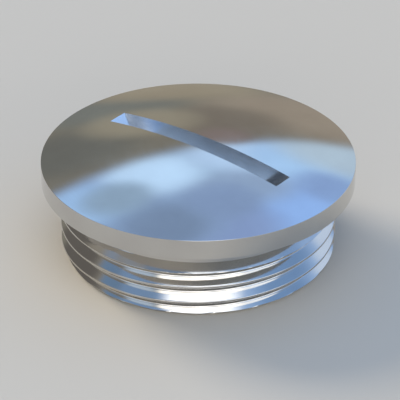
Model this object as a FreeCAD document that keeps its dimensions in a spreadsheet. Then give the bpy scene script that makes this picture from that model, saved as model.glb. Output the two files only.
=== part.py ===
import FreeCAD, Part
import math
import os
import Sketcher

# A slotted blanking plug, turned in one piece: a low domed head with a
# straight slot, a relief under the head, a rounded conduit thread with an
# 80 degree flank angle, and a blind recess from below. The origin lies on
# the axis in the plane of the seat under the head, +Z points out of the
# head, and the slot runs along X. All lengths are in millimetres.

os.makedirs("parts", exist_ok=True)
doc = FreeCAD.newDocument("threaded_plug")

# Driving sizes
SIZES = [
    ("head_dia", 25.5, "diameter of the head"),
    ("rim_height", 1.7, "height of the straight rim of the head"),
    ("dome_rise", 1.55, "rise of the dome above the rim"),
    ("slot_length", 17.0, "length of the slot where it meets the dome"),
    ("slot_width", 1.8, "width of the slot"),
    ("slot_depth", 2.0, "depth of the slot floor below the crown"),
    ("slot_ramp", 28.0, "slope of the two slot ends, in degrees"),
    ("shank_length", 6.4, "length of the shank below the seat"),
    ("thread_dia", 22.5, "outer diameter of the thread"),
    ("thread_pitch", 1.411, "advance of the thread in one turn"),
    ("flank_angle", 80.0, "angle between the flanks, in degrees"),
    ("thread_flat", 0.12, "width of the flat on the crest and in the root"),
    ("thread_round", 0.151, "radius of the crest and the root"),
    ("thread_start", 1.22, "depth of the first groove below the seat at +X"),
    ("end_chamfer", 0.55, "chamfer at the end of the thread"),
    ("relief_dia", 20.6, "diameter of the relief under the head"),
    ("relief_height", 2.1, "height of the relief"),
    ("recess_dia", 18.0, "diameter of the blind recess"),
    ("recess_depth", 5.8, "depth of the blind recess"),
    ("recess_bevel", 0.5, "bevel in the inner corner of the recess"),
    ("recess_chamfer", 0.3, "chamfer at the mouth of the recess"),
]

# Sizes that follow from the driving ones
DERIVED = [
    ("head_r", "head_dia / 2"),
    ("crown_z", "rim_height + dome_rise"),
    ("dome_r", "(head_r ^ 2 + dome_rise ^ 2) / (2 * dome_rise)"),
    ("relief_r", "relief_dia / 2"),
    ("thread_r", "thread_dia / 2"),
    ("end_r", "thread_r - end_chamfer"),
    ("end_z", "shank_length - end_chamfer"),
    ("recess_r", "recess_dia / 2"),
    ("mouth_r", "recess_r + recess_chamfer"),
    ("mouth_z", "shank_length - recess_chamfer"),
    ("recess_z", "shank_length - recess_depth"),
    ("corner_r", "recess_r - recess_bevel"),
    ("corner_z", "recess_z + recess_bevel"),
    ("slot_floor", "crown_z - slot_depth"),
    ("slot_top", "crown_z + 0.5"),
    ("slot_half", "slot_length / 2"),
    ("slot_end_z", "crown_z - dome_r + sqrt(dome_r ^ 2 - slot_half ^ 2)"),
    ("slot_rise", "tan(slot_ramp * 1deg)"),
    ("floor_half", "slot_half - (slot_end_z - slot_floor) / slot_rise"),
    ("top_half", "slot_half + (slot_top - slot_end_z) / slot_rise"),
    ("flank_sin", "sin(flank_angle / 2 * 1deg)"),
    ("flank_cos", "cos(flank_angle / 2 * 1deg)"),
    ("half_pitch", "thread_pitch / 2"),
    ("flat_half", "thread_flat / 2"),
    ("flat_drop", "sqrt(thread_round ^ 2 - flat_half ^ 2)"),
    ("crest_centre", "thread_r - flat_drop"),
    ("flank_run", "half_pitch - 2 * thread_round * flank_cos"),
    ("flank_drop", "flank_run * flank_cos / flank_sin"),
    ("root_gap", "flank_drop - 2 * thread_round * flank_sin"),
    ("root_centre", "crest_centre - root_gap"),
    ("crest_tangent", "crest_centre + thread_round * flank_sin"),
    ("root_tangent", "root_centre - thread_round * flank_sin"),
    ("root_r", "root_centre - flat_drop"),
    ("land_r", "(thread_r + crest_centre + thread_round) / 2"),
    ("land_rise", "land_r - crest_centre"),
    ("land_s", "half_pitch - sqrt(thread_round ^ 2 - land_rise ^ 2)"),
    ("crest_s", "half_pitch - thread_round * flank_cos"),
    ("root_s", "thread_round * flank_cos"),
    ("land_up", "thread_start - land_s"),
    ("land_low", "thread_start + land_s"),
    ("crest_up", "thread_start - crest_s"),
    ("crest_low", "thread_start + crest_s"),
    ("root_up", "thread_start - root_s"),
    ("root_low", "thread_start + root_s"),
    ("flat_up", "thread_start - flat_half"),
    ("flat_low", "thread_start + flat_half"),
    ("cutter_r", "thread_r + half_pitch"),
    ("thread_run", "shank_length - thread_start + thread_pitch"),
]

sheet = doc.addObject("Spreadsheet::Sheet", "sizes")
row = 1
for alias, value, note in SIZES:
    sheet.set("A%d" % row, note)
    sheet.set("B%d" % row, str(value))
    sheet.setAlias("B%d" % row, alias)
    row += 1
for alias, formula in DERIVED:
    sheet.set("A%d" % row, "follows from the sizes above")
    sheet.set("B%d" % row, "=" + formula)
    sheet.setAlias("B%d" % row, alias)
    row += 1
doc.recompute()


def size(alias):
    return float(sheet.get(alias))


def vec(x, y):
    return FreeCAD.Vector(x, y, 0)


body = doc.addObject("PartDesign::Body", "plug")
body.Label = "plug"
PLANES = {f.Role: f for f in body.Origin.OriginFeatures}


def new_sketch(name, role):
    sketch = body.newObject("Sketcher::SketchObject", name)
    sketch.AttachmentSupport = (PLANES[role], [""])
    sketch.MapMode = "FlatFace"
    return sketch


def signed(word):
    # a word with a minus sign in front stands for that size, negated
    if word == "0":
        return 0.0
    if word.startswith("-"):
        return -size(word[1:])
    return size(word)


def fix_point(sketch, geo, pos, x_word, y_word):
    # ties one point of a sketch to two named sizes
    for kind, word, axis in (("DistanceX", x_word, -2), ("DistanceY", y_word, -1)):
        if word == "0":
            sketch.addConstraint(Sketcher.Constraint("PointOnObject", geo, pos, axis))
        elif word.startswith("-"):
            rule = Sketcher.Constraint(kind, geo, pos, -1, 1, size(word[1:]))
            number = sketch.addConstraint(rule)
            sketch.setExpression("Constraints[%d]" % number, "sizes." + word[1:])
        else:
            rule = Sketcher.Constraint(kind, -1, 1, geo, pos, size(word))
            number = sketch.addConstraint(rule)
            sketch.setExpression("Constraints[%d]" % number, "sizes." + word)


def arc_between(start, end, radius, side):
    # an arc of less than half a circle, with its centre on the given side of
    # the line from start to end, and whether it runs from start to end
    chord = end - start
    half = chord.Length / 2
    across = vec(-chord.y, chord.x).normalize()
    rise = math.sqrt(max(radius * radius - half * half, 0.0))
    centre = start + chord * 0.5 + across * rise * side
    first, last = (start, end) if side > 0 else (end, start)
    angles = [math.atan2(p.y - centre.y, p.x - centre.x) for p in (first, last)]
    circle = Part.Circle(centre, FreeCAD.Vector(0, 0, 1), radius)
    return Part.ArcOfCircle(circle, angles[0], angles[1]), side > 0


def closed_outline(sketch, corners):
    # corners: (x, y, radius or None, side) where the radius belongs to the
    # arc from this corner to the next
    points = [vec(signed(c[0]), signed(c[1])) for c in corners]
    kinds = []
    for i, corner in enumerate(corners):
        a = points[i]
        b = points[(i + 1) % len(points)]
        if corner[2]:
            arc, forward = arc_between(a, b, size(corner[2]), corner[3])
            sketch.addGeometry(arc, False)
            kinds.append((1, 2) if forward else (2, 1))
        else:
            sketch.addGeometry(Part.LineSegment(a, b), False)
            kinds.append((1, 2))
    for i, corner in enumerate(corners):
        j = (i + 1) % len(corners)
        joined = Sketcher.Constraint("Coincident", i, kinds[i][1], j, kinds[j][0])
        sketch.addConstraint(joined)
    for i, corner in enumerate(corners):
        fix_point(sketch, i, kinds[i][0], corner[0], corner[1])
        if corner[2]:
            rule = Sketcher.Constraint("Radius", i, size(corner[2]))
            number = sketch.addConstraint(rule)
            sketch.setExpression("Constraints[%d]" % number, "sizes." + corner[2])


# Turned outline: head, relief, thread blank and blind recess
outline = new_sketch("turned_outline", "XZ_Plane")
closed_outline(outline, [
    ("0", "crown_z", "dome_r", -1),
    ("head_r", "rim_height", None, 0),
    ("head_r", "0", None, 0),
    ("relief_r", "0", None, 0),
    ("relief_r", "-relief_height", None, 0),
    ("thread_r", "-relief_height", None, 0),
    ("thread_r", "-end_z", None, 0),
    ("end_r", "-shank_length", None, 0),
    ("mouth_r", "-shank_length", None, 0),
    ("recess_r", "-mouth_z", None, 0),
    ("recess_r", "-corner_z", None, 0),
    ("corner_r", "-recess_z", None, 0),
    ("0", "-recess_z", None, 0),
])
doc.recompute()
turned = body.newObject("PartDesign::Revolution", "turned_blank")
turned.Profile = outline
turned.ReferenceAxis = (outline, ["V_Axis"])
turned.Angle = 360.0
doc.recompute()

# Straight slot across the dome, with a level floor and two sloping ends
slot_side = new_sketch("slot_side", "XZ_Plane")
closed_outline(slot_side, [
    ("-top_half", "slot_top", None, 0),
    ("-floor_half", "slot_floor", None, 0),
    ("floor_half", "slot_floor", None, 0),
    ("top_half", "slot_top", None, 0),
])
doc.recompute()
slot = body.newObject("PartDesign::Pocket", "slot")
slot.Profile = slot_side
slot.Type = 0
slot.Midplane = True
slot.setExpression("Length", "sizes.slot_width")
doc.recompute()

# Thread: one groove with rounded root and crests, swept down a right-hand
# helix from the relief to beyond the end of the shank
groove = new_sketch("thread_groove", "XZ_Plane")
closed_outline(groove, [
    ("cutter_r", "-land_up", None, 0),
    ("land_r", "-land_up", "thread_round", -1),
    ("crest_tangent", "-crest_up", None, 0),
    ("root_tangent", "-root_up", "thread_round", 1),
    ("root_r", "-flat_up", None, 0),
    ("root_r", "-flat_low", "thread_round", 1),
    ("root_tangent", "-root_low", None, 0),
    ("crest_tangent", "-crest_low", "thread_round", -1),
    ("land_r", "-land_low", None, 0),
    ("cutter_r", "-land_low", None, 0),
])
doc.recompute()
thread = body.newObject("PartDesign::SubtractiveHelix", "thread")
thread.Profile = groove
thread.ReferenceAxis = (groove, ["V_Axis"])
thread.Mode = 0
thread.setExpression("Pitch", "sizes.thread_pitch")
thread.setExpression("Height", "sizes.thread_run")
thread.Angle = 0
thread.Growth = 0
thread.LeftHanded = False
thread.Reversed = True
doc.recompute()

# Every feature must have been made and be sound before the part is written
for item in doc.Objects:
    if "Invalid" in item.State or "Error" in item.State:
        raise RuntimeError(item.Name + " could not be made")
for sketch in (outline, slot_side, groove):
    if not sketch.FullyConstrained:
        raise RuntimeError(sketch.Name + " is not fully constrained")
volumes = [step.Shape.Volume for step in (turned, slot, thread)]
if not volumes[0] > volumes[1] > volumes[2] > 0:
    raise RuntimeError("a cut removed nothing")
if body.Shape.isNull() or not body.Shape.isValid():
    raise RuntimeError("the plug is not a sound solid")
if len(body.Shape.Solids) != 1:
    raise RuntimeError("the plug is not one solid")

body.Shape.exportStep("parts/plug.step")
print("volumes in mm3:", [round(v, 1) for v in volumes])
print("faces:", len(body.Shape.Faces))
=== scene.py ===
import math

import bmesh
import bpy
import numpy as np
from mathutils import Matrix, Vector


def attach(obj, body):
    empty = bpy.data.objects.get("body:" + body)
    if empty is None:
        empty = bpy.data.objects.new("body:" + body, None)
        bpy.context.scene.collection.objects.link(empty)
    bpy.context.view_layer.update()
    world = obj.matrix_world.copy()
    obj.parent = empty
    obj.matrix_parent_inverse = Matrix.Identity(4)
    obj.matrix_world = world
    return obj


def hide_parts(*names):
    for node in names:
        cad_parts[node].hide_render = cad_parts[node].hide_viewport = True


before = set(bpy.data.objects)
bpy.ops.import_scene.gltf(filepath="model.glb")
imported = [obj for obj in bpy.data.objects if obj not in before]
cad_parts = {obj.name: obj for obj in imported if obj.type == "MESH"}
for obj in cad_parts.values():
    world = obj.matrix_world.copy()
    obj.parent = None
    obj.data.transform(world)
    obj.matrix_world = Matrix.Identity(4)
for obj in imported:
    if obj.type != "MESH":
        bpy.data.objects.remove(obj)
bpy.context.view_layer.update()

MM = 0.001

# Sizes of the plug in millimetres, the same as in the part's source. SLOT_W,
# SLOT_HALF and FLANK are half of the slot's width and length and of the angle
# between the flanks
HEAD_R = 12.75
RIM = 1.7
DOME_RISE = 1.55
SLOT_HALF = 8.5
SLOT_W = 0.9
SLOT_DEPTH = 2.0
SLOT_RAMP = math.radians(28.0)
SHANK = 6.4
THREAD_R = 11.25
PITCH = 1.411
FLANK = math.radians(40.0)
CREST_FLAT = 0.12
ROUND = 0.151
START = 1.22
CHAMFER = 0.55

# Neck under the head and the thread's chamfered start, as the photo shows
# them; the source has a plain relief, 20.6 across and 2.1 high, there
NECK_R = 10.6
NECK_Z = 1.6
LEAD = math.radians(47.0)

RECESS_R = 9.0
RECESS_Z = 5.8
RECESS_BEVEL = 0.5
MOUTH = 0.3
EDGE = 0.03
MOUTH_EDGE = 0.02

LEAD_DROP = (THREAD_R - NECK_R) * math.tan(LEAD)
CROWN = RIM + DOME_RISE
DOME_R = (HEAD_R**2 + DOME_RISE**2) / (2 * DOME_RISE)

# Mesh: columns round the axis, columns on half a slot end, turns of the
# thread, rows on its two chamfers, and rings that divide the plain faces
COLUMNS = 512
CORNER = 8
TURNS = range(-1, 6)
CHAMFER_ROWS = 15
LEAD_ROWS = 24
DOME_SHARES = (0, 0.015, 0.06, 0.14, 0.24, 0.35, 0.46, 0.57, 0.68, 0.78, 0.87, 0.94, 0.985, 1)
BEVEL_SHARES = (0, 0.06, 0.94, 1)
RIM_RING = 0.8
SEAT_RING = 11.8
END_RING = 10.55
WALL_RINGS = (-4.5, -3.0)
TOP_RINGS = (8.0, 6.0, 3.0, 0.8)

# Points nearer than this, in metres, are one point, and shorter edges go
SAME_POINT = 2e-7
SLIVER = 1e-7
SHARP_ANGLE = math.radians(28)

# Direction of the camera about the plug's axis
AZIMUTH = math.radians(37.93)


def dome_z(x, y):
    # height of the dome over a place on the head
    return CROWN - DOME_R + np.sqrt(DOME_R**2 - x * x - y * y)


# Thread: centres of the round crest and root, and where the flanks begin and
# end, as radii and as distances from the middle of the groove
CREST_C = THREAD_R - math.sqrt(ROUND**2 - CREST_FLAT**2 / 4)
RUN = PITCH / 2 - 2 * ROUND * math.cos(FLANK)
ROOT_C = CREST_C - (RUN / math.tan(FLANK) - 2 * ROUND * math.sin(FLANK))
ROOT_S = ROUND * math.cos(FLANK)
CREST_S = PITCH / 2 - ROOT_S


def groove(s):
    # radius of the threaded surface at the distance s from mid-groove
    s = np.abs(s)
    root = ROOT_C - np.sqrt(np.maximum(ROUND**2 - s**2, 0))
    top = PITCH / 2 - s
    crest = CREST_C + np.sqrt(np.maximum(ROUND**2 - top**2, 0))
    slope = 1 / math.tan(FLANK)
    flank = ROOT_C - ROUND * math.sin(FLANK) + (s - ROOT_S) * slope
    r = np.where(s < ROOT_S, root, np.where(s < CREST_S, flank, crest))
    return np.minimum(r, THREAD_R)


def groove_steps():
    # heights, within one pitch, at which the thread gets a row of points
    root = [ROUND * math.sin(a) for a in np.linspace(0, math.pi / 2 - FLANK, 6)]
    span = CREST_S - ROOT_S
    flank = [ROOT_S + span * k for k in (0.06, 0.5, 0.94)]
    first = math.asin(CREST_FLAT / 2 / ROUND)
    crest = [
        PITCH / 2 - ROUND * math.sin(a)
        for a in np.linspace(math.pi / 2 - FLANK, first, 4)
    ]
    half = root[1:] + flank + crest
    return sorted([-s for s in half] + [0.0] + half)


def blank_low(z):
    # outer radius of the blank near its end, before the thread is cut
    return np.minimum(THREAD_R, THREAD_R - CHAMFER + (z + SHANK))


def shank_rows():
    # for each column the heights of the thread's rows, top to bottom
    steps = groove_steps()
    per_turn = len(steps)
    fixed = list(-SHANK + CHAMFER * np.linspace(0, 1, CHAMFER_ROWS)[1:])
    fixed += list(-NECK_Z - LEAD_DROP * np.linspace(0, 1, LEAD_ROWS))
    rows = []
    for i in range(COLUMNS + 1):
        middle = -START + PITCH * i / COLUMNS
        z = [middle - PITCH * t - s for t in TURNS for s in steps]
        z = np.clip(np.array(z + fixed), -SHANK, -NECK_Z)
        rows.append(np.sort(z)[::-1])
    return np.array(rows[:-1]), per_turn


def shank_radius(theta, z):
    # radius of the shank below the neck at an angle and a height
    middle = -START + PITCH * theta / (2 * math.pi)
    s = (z - middle + PITCH / 2) % PITCH - PITCH / 2
    lead = NECK_R + (-NECK_Z - z) / math.tan(LEAD)
    return np.minimum(np.minimum(groove(s), blank_low(z)), lead)


class Mesh:
    # points in metres and faces, added ring by ring
    def __init__(self):
        self.points = []
        self.faces = []

    def ring(self, xyz):
        start = len(self.points)
        self.points.extend([tuple(float(c) * MM for c in p) for p in xyz])
        return list(range(start, start + len(xyz)))

    def band(self, a, b):
        n = len(a)
        for i in range(n):
            j = (i + 1) % n
            self.faces.append((a[i], b[i], b[j], a[j]))

    def strip(self, a, b):
        for i in range(len(a) - 1):
            self.faces.append((a[i], b[i], b[i + 1], a[i + 1]))


def circle(r, z):
    t = np.arange(COLUMNS) * 2 * math.pi / COLUMNS
    return np.c_[r * np.cos(t), r * np.sin(t), np.full(COLUMNS, z)]


def slot_bottom(x):
    # height of the slot's floor: level, with a slope at each end
    end_z = float(dome_z(SLOT_HALF, 0))
    ramp = end_z + (np.abs(x) - SLOT_HALF) * math.tan(SLOT_RAMP)
    return np.maximum(CROWN - SLOT_DEPTH, ramp)


def slot_end(y):
    # x at which the sloping end of the slot meets the dome
    x = SLOT_HALF
    for _ in range(30):
        gap = float(dome_z(x, y)) - float(slot_bottom(x))
        x += gap / (math.tan(SLOT_RAMP) + x / DOME_R)
    return x


def slot_outline():
    # outline of the slot on the dome, one point for each column
    corner_x = slot_end(SLOT_W)
    turn = 2 * math.pi / COLUMNS
    outline = []
    for i in range(COLUMNS):
        k = (i + COLUMNS // 4) % COLUMNS - COLUMNS // 4
        sign = 1
        if k > COLUMNS // 4:
            k = COLUMNS // 2 - k
            sign = -1
        if abs(k) <= CORNER:
            y = SLOT_W * k / CORNER
            outline.append((sign * slot_end(y), y))
        else:
            x = corner_x * math.cos(k * turn) / math.cos(CORNER * turn)
            outline.append((sign * x, math.copysign(SLOT_W, k)))
    return np.array(outline)


def rim_profile():
    # rim with slightly broken edges, seat and neck
    rim_top = float(dome_z(HEAD_R - EDGE, 0))
    profile = []
    for a in (30, 60, 90):
        c = math.radians(a)
        profile.append(
            (HEAD_R - EDGE + EDGE * math.sin(c), rim_top - EDGE + EDGE * math.cos(c))
        )
    profile += [(HEAD_R, rim_top - 2 * EDGE), (HEAD_R, RIM_RING), (HEAD_R, 2 * EDGE)]
    for a in (0, 30, 60, 90):
        c = math.radians(a)
        profile.append((HEAD_R - EDGE + EDGE * math.cos(c), EDGE - EDGE * math.sin(c)))
    profile += [(HEAD_R - 2 * EDGE, 0), (SEAT_RING, 0), (NECK_R + EDGE, 0), (NECK_R, 0)]
    profile += [(NECK_R, -EDGE), (NECK_R, -NECK_Z + EDGE), (NECK_R, -NECK_Z)]
    return profile


def recess_profile():
    # end face, mouth of the recess, its wall, the bevel in its corner, its top
    low = -SHANK
    mouth = RECESS_R + MOUTH
    top_z = low + RECESS_Z
    profile = [(END_RING, low), (mouth + MOUTH_EDGE, low), (mouth, low)]
    profile += [(mouth - MOUTH_EDGE, low + MOUTH_EDGE)]
    profile += [(RECESS_R, low + MOUTH), (RECESS_R, low + MOUTH + EDGE)]
    profile += [(RECESS_R, z) for z in WALL_RINGS]
    for u in BEVEL_SHARES:
        cut = RECESS_BEVEL * u
        profile.append((RECESS_R - cut, top_z - RECESS_BEVEL + cut))
    profile += [(r, top_z) for r in TOP_RINGS]
    return profile


def add_dome(m):
    # dome, from the slot to the rim; returns its first and its last ring
    inner = slot_outline()
    outer = circle(HEAD_R - EDGE, 0)[:, :2]
    rings = []
    for u in DOME_SHARES:
        xy = inner * (1 - u) + outer * u
        rings.append(m.ring(np.c_[xy, dome_z(xy[:, 0], xy[:, 1])]))
    for a, b in zip(rings, rings[1:]):
        m.band(a, b)
    return rings[0], rings[-1]


def add_profile(m, last, profile):
    # faces turned about the axis, joined to the last ring; returns the new one
    for r, z in profile:
        ring = m.ring(circle(r, z))
        m.band(last, ring)
        last = ring
    return last


def add_thread(m, last):
    # rows follow the helix, so the seam joins rows one turn apart
    t = np.arange(COLUMNS) * 2 * math.pi / COLUMNS
    rows, per_turn = shank_rows()
    count = rows.shape[1]
    base = len(m.points)
    radius = shank_radius(t[:, None], rows)
    for i in range(COLUMNS):
        x = radius[i] * math.cos(t[i])
        y = radius[i] * math.sin(t[i])
        m.ring(np.c_[x, y, rows[i]])

    def at(i, k):
        return base + (i % COLUMNS) * count + k

    for i in range(COLUMNS):
        shift = per_turn if i == COLUMNS - 1 else 0
        for k in range(shift, count - 1):
            j = k - shift
            here = rows[i, k] == rows[i, k + 1]
            there = rows[(i + 1) % COLUMNS, j] == rows[(i + 1) % COLUMNS, j + 1]
            if here and there:
                continue
            m.faces.append((at(i, k), at(i, k + 1), at(i + 1, j + 1), at(i + 1, j)))
    m.band(last, [at(i, 0) for i in range(COLUMNS)])
    return [at(i, count - 1) for i in range(COLUMNS)]


def long_side(top, sign):
    # points of the slot's outline along one of its long sides
    ks = range(CORNER, COLUMNS // 2 - CORNER + 1)
    return [top[(sign * k) % COLUMNS] for k in ks]


def add_slot(m, top):
    # walls and floor of the slot, from one side to the other
    upper = long_side(top, 1)
    lower = long_side(top, -1)
    xs = [m.points[i][0] / MM for i in upper]
    depth = [float(slot_bottom(x)) for x in xs]
    feet_lines = []
    for ids, y, flip in ((upper, SLOT_W, False), (lower, -SLOT_W, True)):
        feet = m.ring([(x, y, z) for x, z in zip(xs, depth)])
        middle = m.ring(
            [(x, y, (z + float(dome_z(x, y))) / 2) for x, z in zip(xs, depth)]
        )
        for line in (feet, middle):
            line[0] = ids[0]
            line[-1] = ids[-1]
        feet_lines.append(feet)
        for a, b in ((ids, middle), (middle, feet)):
            if flip:
                a, b = b, a
            m.strip(a, b)
    lines = [feet_lines[0]]
    for k in range(CORNER - 1, -CORNER, -1):
        y = SLOT_W * k / CORNER
        line = m.ring([(x, y, z) for x, z in zip(xs, depth)])
        line[0] = top[k % COLUMNS]
        line[-1] = top[(COLUMNS // 2 - k) % COLUMNS]
        lines.append(line)
    lines.append(feet_lines[1])
    for a, b in zip(lines, lines[1:]):
        m.strip(a, b)


def clean(data):
    # join the points that meet, drop what has no face, turn all faces outward
    bm = bmesh.new()
    bm.from_mesh(data)
    bmesh.ops.remove_doubles(bm, verts=bm.verts, dist=SAME_POINT)
    bmesh.ops.dissolve_degenerate(bm, edges=bm.edges, dist=SLIVER)
    loose = [v for v in bm.verts if not v.link_faces]
    bmesh.ops.delete(bm, geom=loose, context="VERTS")
    bmesh.ops.recalc_face_normals(bm, faces=bm.faces)
    bm.to_mesh(data)
    bm.free()


def build_plug():
    m = Mesh()
    slot_top, last = add_dome(m)
    last = add_profile(m, last, rim_profile())
    last = add_thread(m, last)
    last = add_profile(m, last, recess_profile())
    m.faces.append(tuple(last))
    turned_faces = len(m.faces)
    add_slot(m, slot_top)

    data = bpy.data.meshes.new("plug_body")
    data.from_pydata(m.points, [], m.faces)
    for face in data.polygons[turned_faces:]:
        face.material_index = 1
    clean(data)
    for face in data.polygons:
        face.use_smooth = True
    data.set_sharp_from_angle(angle=SHARP_ANGLE)
    plug = bpy.data.objects.new("plug_body", data)
    bpy.context.scene.collection.objects.link(plug)
    return plug


plug = build_plug()
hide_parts("plug")
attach(plug, "root")


class Nodes:
    # short ways to make and join shader nodes of one material
    def __init__(self, mat):
        self.tree = mat.node_tree
        self.shader = self.tree.nodes["Principled BSDF"]

    def put(self, kind, **settings):
        node = self.tree.nodes.new(kind)
        for key, value in settings.items():
            setattr(node, key, value)
        return node

    def link(self, source, target):
        self.tree.links.new(source, target)

    def math(self, operation, a, b):
        node = self.put("ShaderNodeMath", operation=operation)
        for socket, value in zip(node.inputs, (a, b)):
            if hasattr(value, "is_output"):
                self.link(value, socket)
            else:
                socket.default_value = value
        return node.outputs[0]

    def noise(self, scale, detail, place=None, along=None):
        # noise through the solid, or in stripes along one running length
        node = self.put("ShaderNodeTexNoise")
        if along is not None:
            node.noise_dimensions = "1D"
            self.link(along, node.inputs["W"])
        else:
            self.link(place, node.inputs["Vector"])
        node.inputs["Scale"].default_value = scale
        node.inputs["Detail"].default_value = detail
        return node.outputs[0]

    def spread(self, value, low, high):
        node = self.put("ShaderNodeMapRange")
        node.inputs["From Min"].default_value = 0.3
        node.inputs["From Max"].default_value = 0.7
        node.inputs["To Min"].default_value = low
        node.inputs["To Max"].default_value = high
        self.link(value, node.inputs["Value"])
        return node.outputs[0]

    def tint(self, factor, dark, light):
        node = self.put("ShaderNodeMix", data_type="RGBA")
        node.inputs[6].default_value = (*dark, 1)
        node.inputs[7].default_value = (*light, 1)
        self.link(factor, node.inputs[0])
        return node.outputs[2]

    def bump(self, height, depth_mm, strength, below=None):
        node = self.put("ShaderNodeBump")
        node.inputs["Strength"].default_value = strength
        node.inputs["Distance"].default_value = depth_mm * MM
        self.link(height, node.inputs["Height"])
        if below is not None:
            self.link(below, node.inputs["Normal"])
        return node.outputs["Normal"]


def metal(name):
    # a bare metal with its place in the part ready for patterns
    mat = bpy.data.materials.new(name)
    mat.use_nodes = True
    build = Nodes(mat)
    build.shader.inputs["Metallic"].default_value = 1.0
    build.place = build.put("ShaderNodeTexCoord").outputs["Object"]
    split = build.put("ShaderNodeSeparateXYZ")
    build.link(build.place, split.inputs[0])
    build.x, build.y, build.z = split.outputs
    return mat, build


def turned_nickel():
    # bright nickel over turned metal: rings about the axis from the lathe,
    # faint cloudiness of the plating, and a few fine specks
    mat, n = metal("turned_nickel")
    square = n.math("ADD", n.math("MULTIPLY", n.x, n.x), n.math("MULTIPLY", n.y, n.y))
    radius = n.math("SQRT", square, 0.0)
    run = n.math("ADD", radius, n.z)
    marks = n.noise(9000.0, 3.0, along=run)
    cloud = n.noise(260.0, 3.0, place=n.place)
    specks = n.noise(5200.0, 2.0, place=n.place)
    colour = n.tint(n.spread(cloud, 0.0, 1.0), (0.585, 0.565, 0.54), (0.635, 0.62, 0.59))
    n.link(colour, n.shader.inputs["Base Color"])
    rough = n.math("ADD", n.spread(cloud, 0.05, 0.08), n.spread(marks, 0.0, 0.035))
    n.link(rough, n.shader.inputs["Roughness"])
    fine = n.bump(marks, 0.0006, 0.25)
    n.link(n.bump(specks, 0.0003, 0.2, below=fine), n.shader.inputs["Normal"])
    return mat


def milled_nickel_painted_light():
    # walls and floor of the slot: lines along the cut, a little duller, and painted light: a
    # colour much lighter and bluer than the turned nickel, which lifts the slot out of its
    # shade
    mat, n = metal("milled_nickel_painted_light")
    across = n.math("ADD", n.y, n.z)
    marks = n.noise(7000.0, 4.0, along=across)
    cloud = n.noise(600.0, 3.0, place=n.place)
    # painted light: base colour far above the turned nickel's, to brighten the shaded walls
    # and floor of the slot
    colour = n.tint(n.spread(cloud, 0.0, 1.0), (0.76, 0.78, 0.80), (0.83, 0.85, 0.87))
    n.link(colour, n.shader.inputs["Base Color"])
    rough = n.math("ADD", n.spread(cloud, 0.21, 0.24), n.spread(marks, 0.0, 0.03))
    n.link(rough, n.shader.inputs["Roughness"])
    n.link(n.bump(marks, 0.0004, 0.08), n.shader.inputs["Normal"])
    return mat


plug.data.materials.append(turned_nickel())
plug.data.materials.append(milled_nickel_painted_light())

FLOOR_HALF = 3.0
FLOOR_COLOUR = (0.53, 0.49, 0.425)


def build_floor():
    # plain matt floor under the plug's end
    data = bpy.data.meshes.new("floor")
    low = -SHANK * MM
    corners = [(-FLOOR_HALF, -FLOOR_HALF), (FLOOR_HALF, -FLOOR_HALF)]
    corners += [(FLOOR_HALF, FLOOR_HALF), (-FLOOR_HALF, FLOOR_HALF)]
    data.from_pydata([(x, y, low) for x, y in corners], [], [(0, 1, 2, 3)])
    floor = bpy.data.objects.new("floor", data)
    bpy.context.scene.collection.objects.link(floor)
    mat = bpy.data.materials.new("floor")
    mat.use_nodes = True
    shader = mat.node_tree.nodes["Principled BSDF"]
    shader.inputs["Base Color"].default_value = (*FLOOR_COLOUR, 1)
    shader.inputs["Roughness"].default_value = 1.0
    shader.inputs["Specular IOR Level"].default_value = 0.0
    data.materials.append(mat)


build_floor()

# World: an open sky with soft bright patches over a warm grey skyline, seen
# only as light and as reflections. Azimuth 0 is the camera's side, 90 its right.
world = bpy.data.worlds.new("studio")
bpy.context.scene.world = world
world.use_nodes = True
nodes = world.node_tree.nodes
links = world.node_tree.links
view_dir = nodes.new("ShaderNodeTexCoord").outputs["Generated"]


def toward(azimuth, elevation):
    a = math.radians(azimuth) + AZIMUTH
    e = math.radians(elevation)
    return (math.sin(a) * math.cos(e), -math.cos(a) * math.cos(e), math.sin(e))


def nearness(azimuth, elevation, inner, outer):
    # 1 within the inner angle of that direction, 0 beyond the outer one
    dot = nodes.new("ShaderNodeVectorMath")
    dot.operation = "DOT_PRODUCT"
    dot.inputs[1].default_value = toward(azimuth, elevation)
    links.new(view_dir, dot.inputs[0])
    fade = nodes.new("ShaderNodeMapRange")
    fade.interpolation_type = "SMOOTHERSTEP"
    fade.inputs["From Min"].default_value = math.cos(math.radians(outer))
    fade.inputs["From Max"].default_value = math.cos(math.radians(inner))
    links.new(dot.outputs["Value"], fade.inputs["Value"])
    return fade.outputs["Result"]


def blend(below, colour, factor):
    mix = nodes.new("ShaderNodeMix")
    mix.data_type = "RGBA"
    mix.inputs[7].default_value = (*colour, 1)
    if hasattr(below, "is_output"):
        links.new(below, mix.inputs[6])
    else:
        mix.inputs[6].default_value = (*below, 1)
    links.new(factor, mix.inputs[0])
    return mix.outputs[2]


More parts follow.
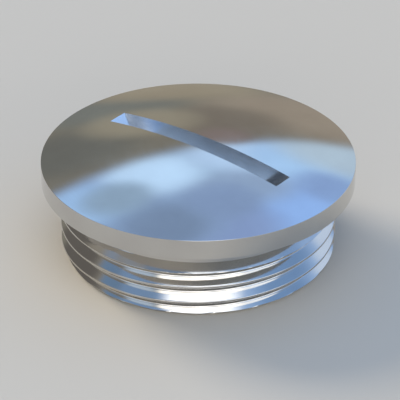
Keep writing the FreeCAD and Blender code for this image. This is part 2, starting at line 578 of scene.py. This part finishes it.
GROUND = (0.36, 0.34, 0.30)
SKY = (0.42, 0.64, 1.05)
sky = blend(GROUND, SKY, nearness(115, 64, 56, 62))
PATCHES = [
    # azimuth, elevation, inner and outer angle, colour
    # sky behind: light clouds and dim gaps between them
    (163, 48, 2, 14, (0.43, 0.73, 1.40)),
    (174, 56, 2, 12, (0.36, 0.52, 0.94)),
    (190, 52, 4, 14, (0.36, 0.54, 0.88)),
    (174, 41, 3, 10, (0.42, 0.60, 0.92)),
    (182, 37, 1, 8, (0.48, 0.71, 1.06)),
    (187.5, 40, 0, 8.5, (0.80, 1.16, 1.64)),
    (175, 33.5, 1, 8, (0.70, 1.00, 1.46)),
    (166, 32, 1, 9, (0.58, 0.93, 1.46)),
    (163, 25, 1, 10, (0.66, 0.87, 1.10)),
    (203, 44, 1, 9, (0.52, 0.84, 1.36)),
    (188, 55, 0, 8, (0.28, 0.41, 0.66)),
    (175, 48, 0, 7, (0.34, 0.50, 0.84)),
    (195, 45, 0, 6.5, (0.40, 0.59, 0.84)),
    (160, 37, 0, 6, (0.36, 0.56, 1.02)),
    # the skyline behind, and tones on the ground below it
    (211, -29.5, 65, 70.5, (0.28, 0.272, 0.235)),
    (170, 13, 2, 13, (0.43, 0.38, 0.32)),
    (178.5, 21.5, 1, 10, (0.265, 0.24, 0.21)),
    (188, 12, 0, 9, (0.25, 0.27, 0.26)),
    (196, 26, 1, 11, (0.21, 0.22, 0.21)),
    (186, 20.5, 0, 8, (0.42, 0.395, 0.32)),
    (182, 4, 0, 9, (0.42, 0.38, 0.30)),
    (177, 27, 0, 4, (0.31, 0.26, 0.255)),
    # front: a bright opening overhead and another one low behind the camera
    (-2, 68, 1, 27, (2.1, 2.2, 2.35)),
    (0, 8, 10, 22, (3.6, 3.6, 3.6)),
    (26, 9, 10, 22, (3.2, 3.2, 3.2)),
    (-20, 9, 8, 20, (3.2, 3.2, 3.2)),
    (52, 9, 8, 24, (2.0, 2.2, 2.5)),
    (-50, 9, 6, 20, (0.9, 1.15, 1.5)),
    (60, 31, 4, 14, (0.30, 0.42, 0.62)),
    (-62, 31, 4, 14, (0.40, 0.50, 0.62)),
    (-29, 44, 11, 20, (0.22, 0.30, 0.44)),
    # right side
    (95, 50, 4, 26, (0.24, 0.42, 0.76)),
    (130, 24, 4, 18, (0.75, 0.92, 1.2)),
    # left side
    (-75, 58, 4, 20, (0.25, 0.40, 0.66)),
    (-77, 31, 3, 12, (0.30, 0.39, 0.54)),
    (-95, 46, 2, 10, (0.19, 0.31, 0.50)),
    (-125, 28, 14, 26, (0.17, 0.16, 0.15)),
]
for azimuth, elevation, inner, outer, colour in PATCHES:
    sky = blend(sky, colour, nearness(azimuth, elevation, inner, outer))
links.new(sky, nodes["Background"].inputs["Color"])


def add_key_light():
    # from the back left: it lights the floor, so that the plug's soft shadow
    # falls to the right, and makes no spot in the bright metal
    key = bpy.data.lights.new("key", "SUN")
    key.energy = 2.9
    key.angle = math.radians(26.0)
    key.color = (1.0, 0.90, 0.74)
    lamp = bpy.data.objects.new("key", key)
    lamp.rotation_mode = "QUATERNION"
    lamp.rotation_quaternion = Vector(toward(230, 28)).to_track_quat("Z", "Y")
    lamp.visible_glossy = False
    bpy.context.scene.collection.objects.link(lamp)


add_key_light()

# Camera, placed by the fit to the photo's outlines: its elevation and roll,
# its distance and offsets in head radii, and its focal length in pixels of a
# picture 400 pixels wide
ELEVATION = math.radians(30.951)
ROLL = math.radians(0.216)
DISTANCE = 15.257
OFFSET_X = -0.010539
OFFSET_Y = 0.267567
FOCAL_PIXELS = 2402.54
PICTURE_PIXELS = 400
SENSOR = 36.0


def add_camera():
    back = np.array([0, -math.cos(ELEVATION), math.sin(ELEVATION)])
    right = np.array([1.0, 0, 0])
    up = np.cross(back, right)
    c = math.cos(ROLL)
    s = math.sin(ROLL)
    right, up = c * right + s * up, -s * right + c * up
    place = -OFFSET_X * right - OFFSET_Y * up + DISTANCE * back
    turn = np.array(
        [
            [math.cos(AZIMUTH), -math.sin(AZIMUTH), 0],
            [math.sin(AZIMUTH), math.cos(AZIMUTH), 0],
            [0, 0, 1],
        ]
    )
    place = turn @ place * HEAD_R + np.array([0, 0, RIM])
    pose = np.eye(4)
    pose[:3, :3] = turn @ np.array([right, up, back]).T
    pose[:3, 3] = place * MM
    camera = bpy.data.objects.new("camera", bpy.data.cameras.new("camera"))
    bpy.context.scene.collection.objects.link(camera)
    camera.matrix_world = Matrix(pose.tolist())
    camera.data.sensor_width = SENSOR
    camera.data.lens = SENSOR * FOCAL_PIXELS / PICTURE_PIXELS
    camera.data.clip_start = 0.01
    camera.data.clip_end = 20.0
    bpy.context.scene.camera = camera


add_camera()
bpy.context.scene.view_settings.view_transform = "Standard"
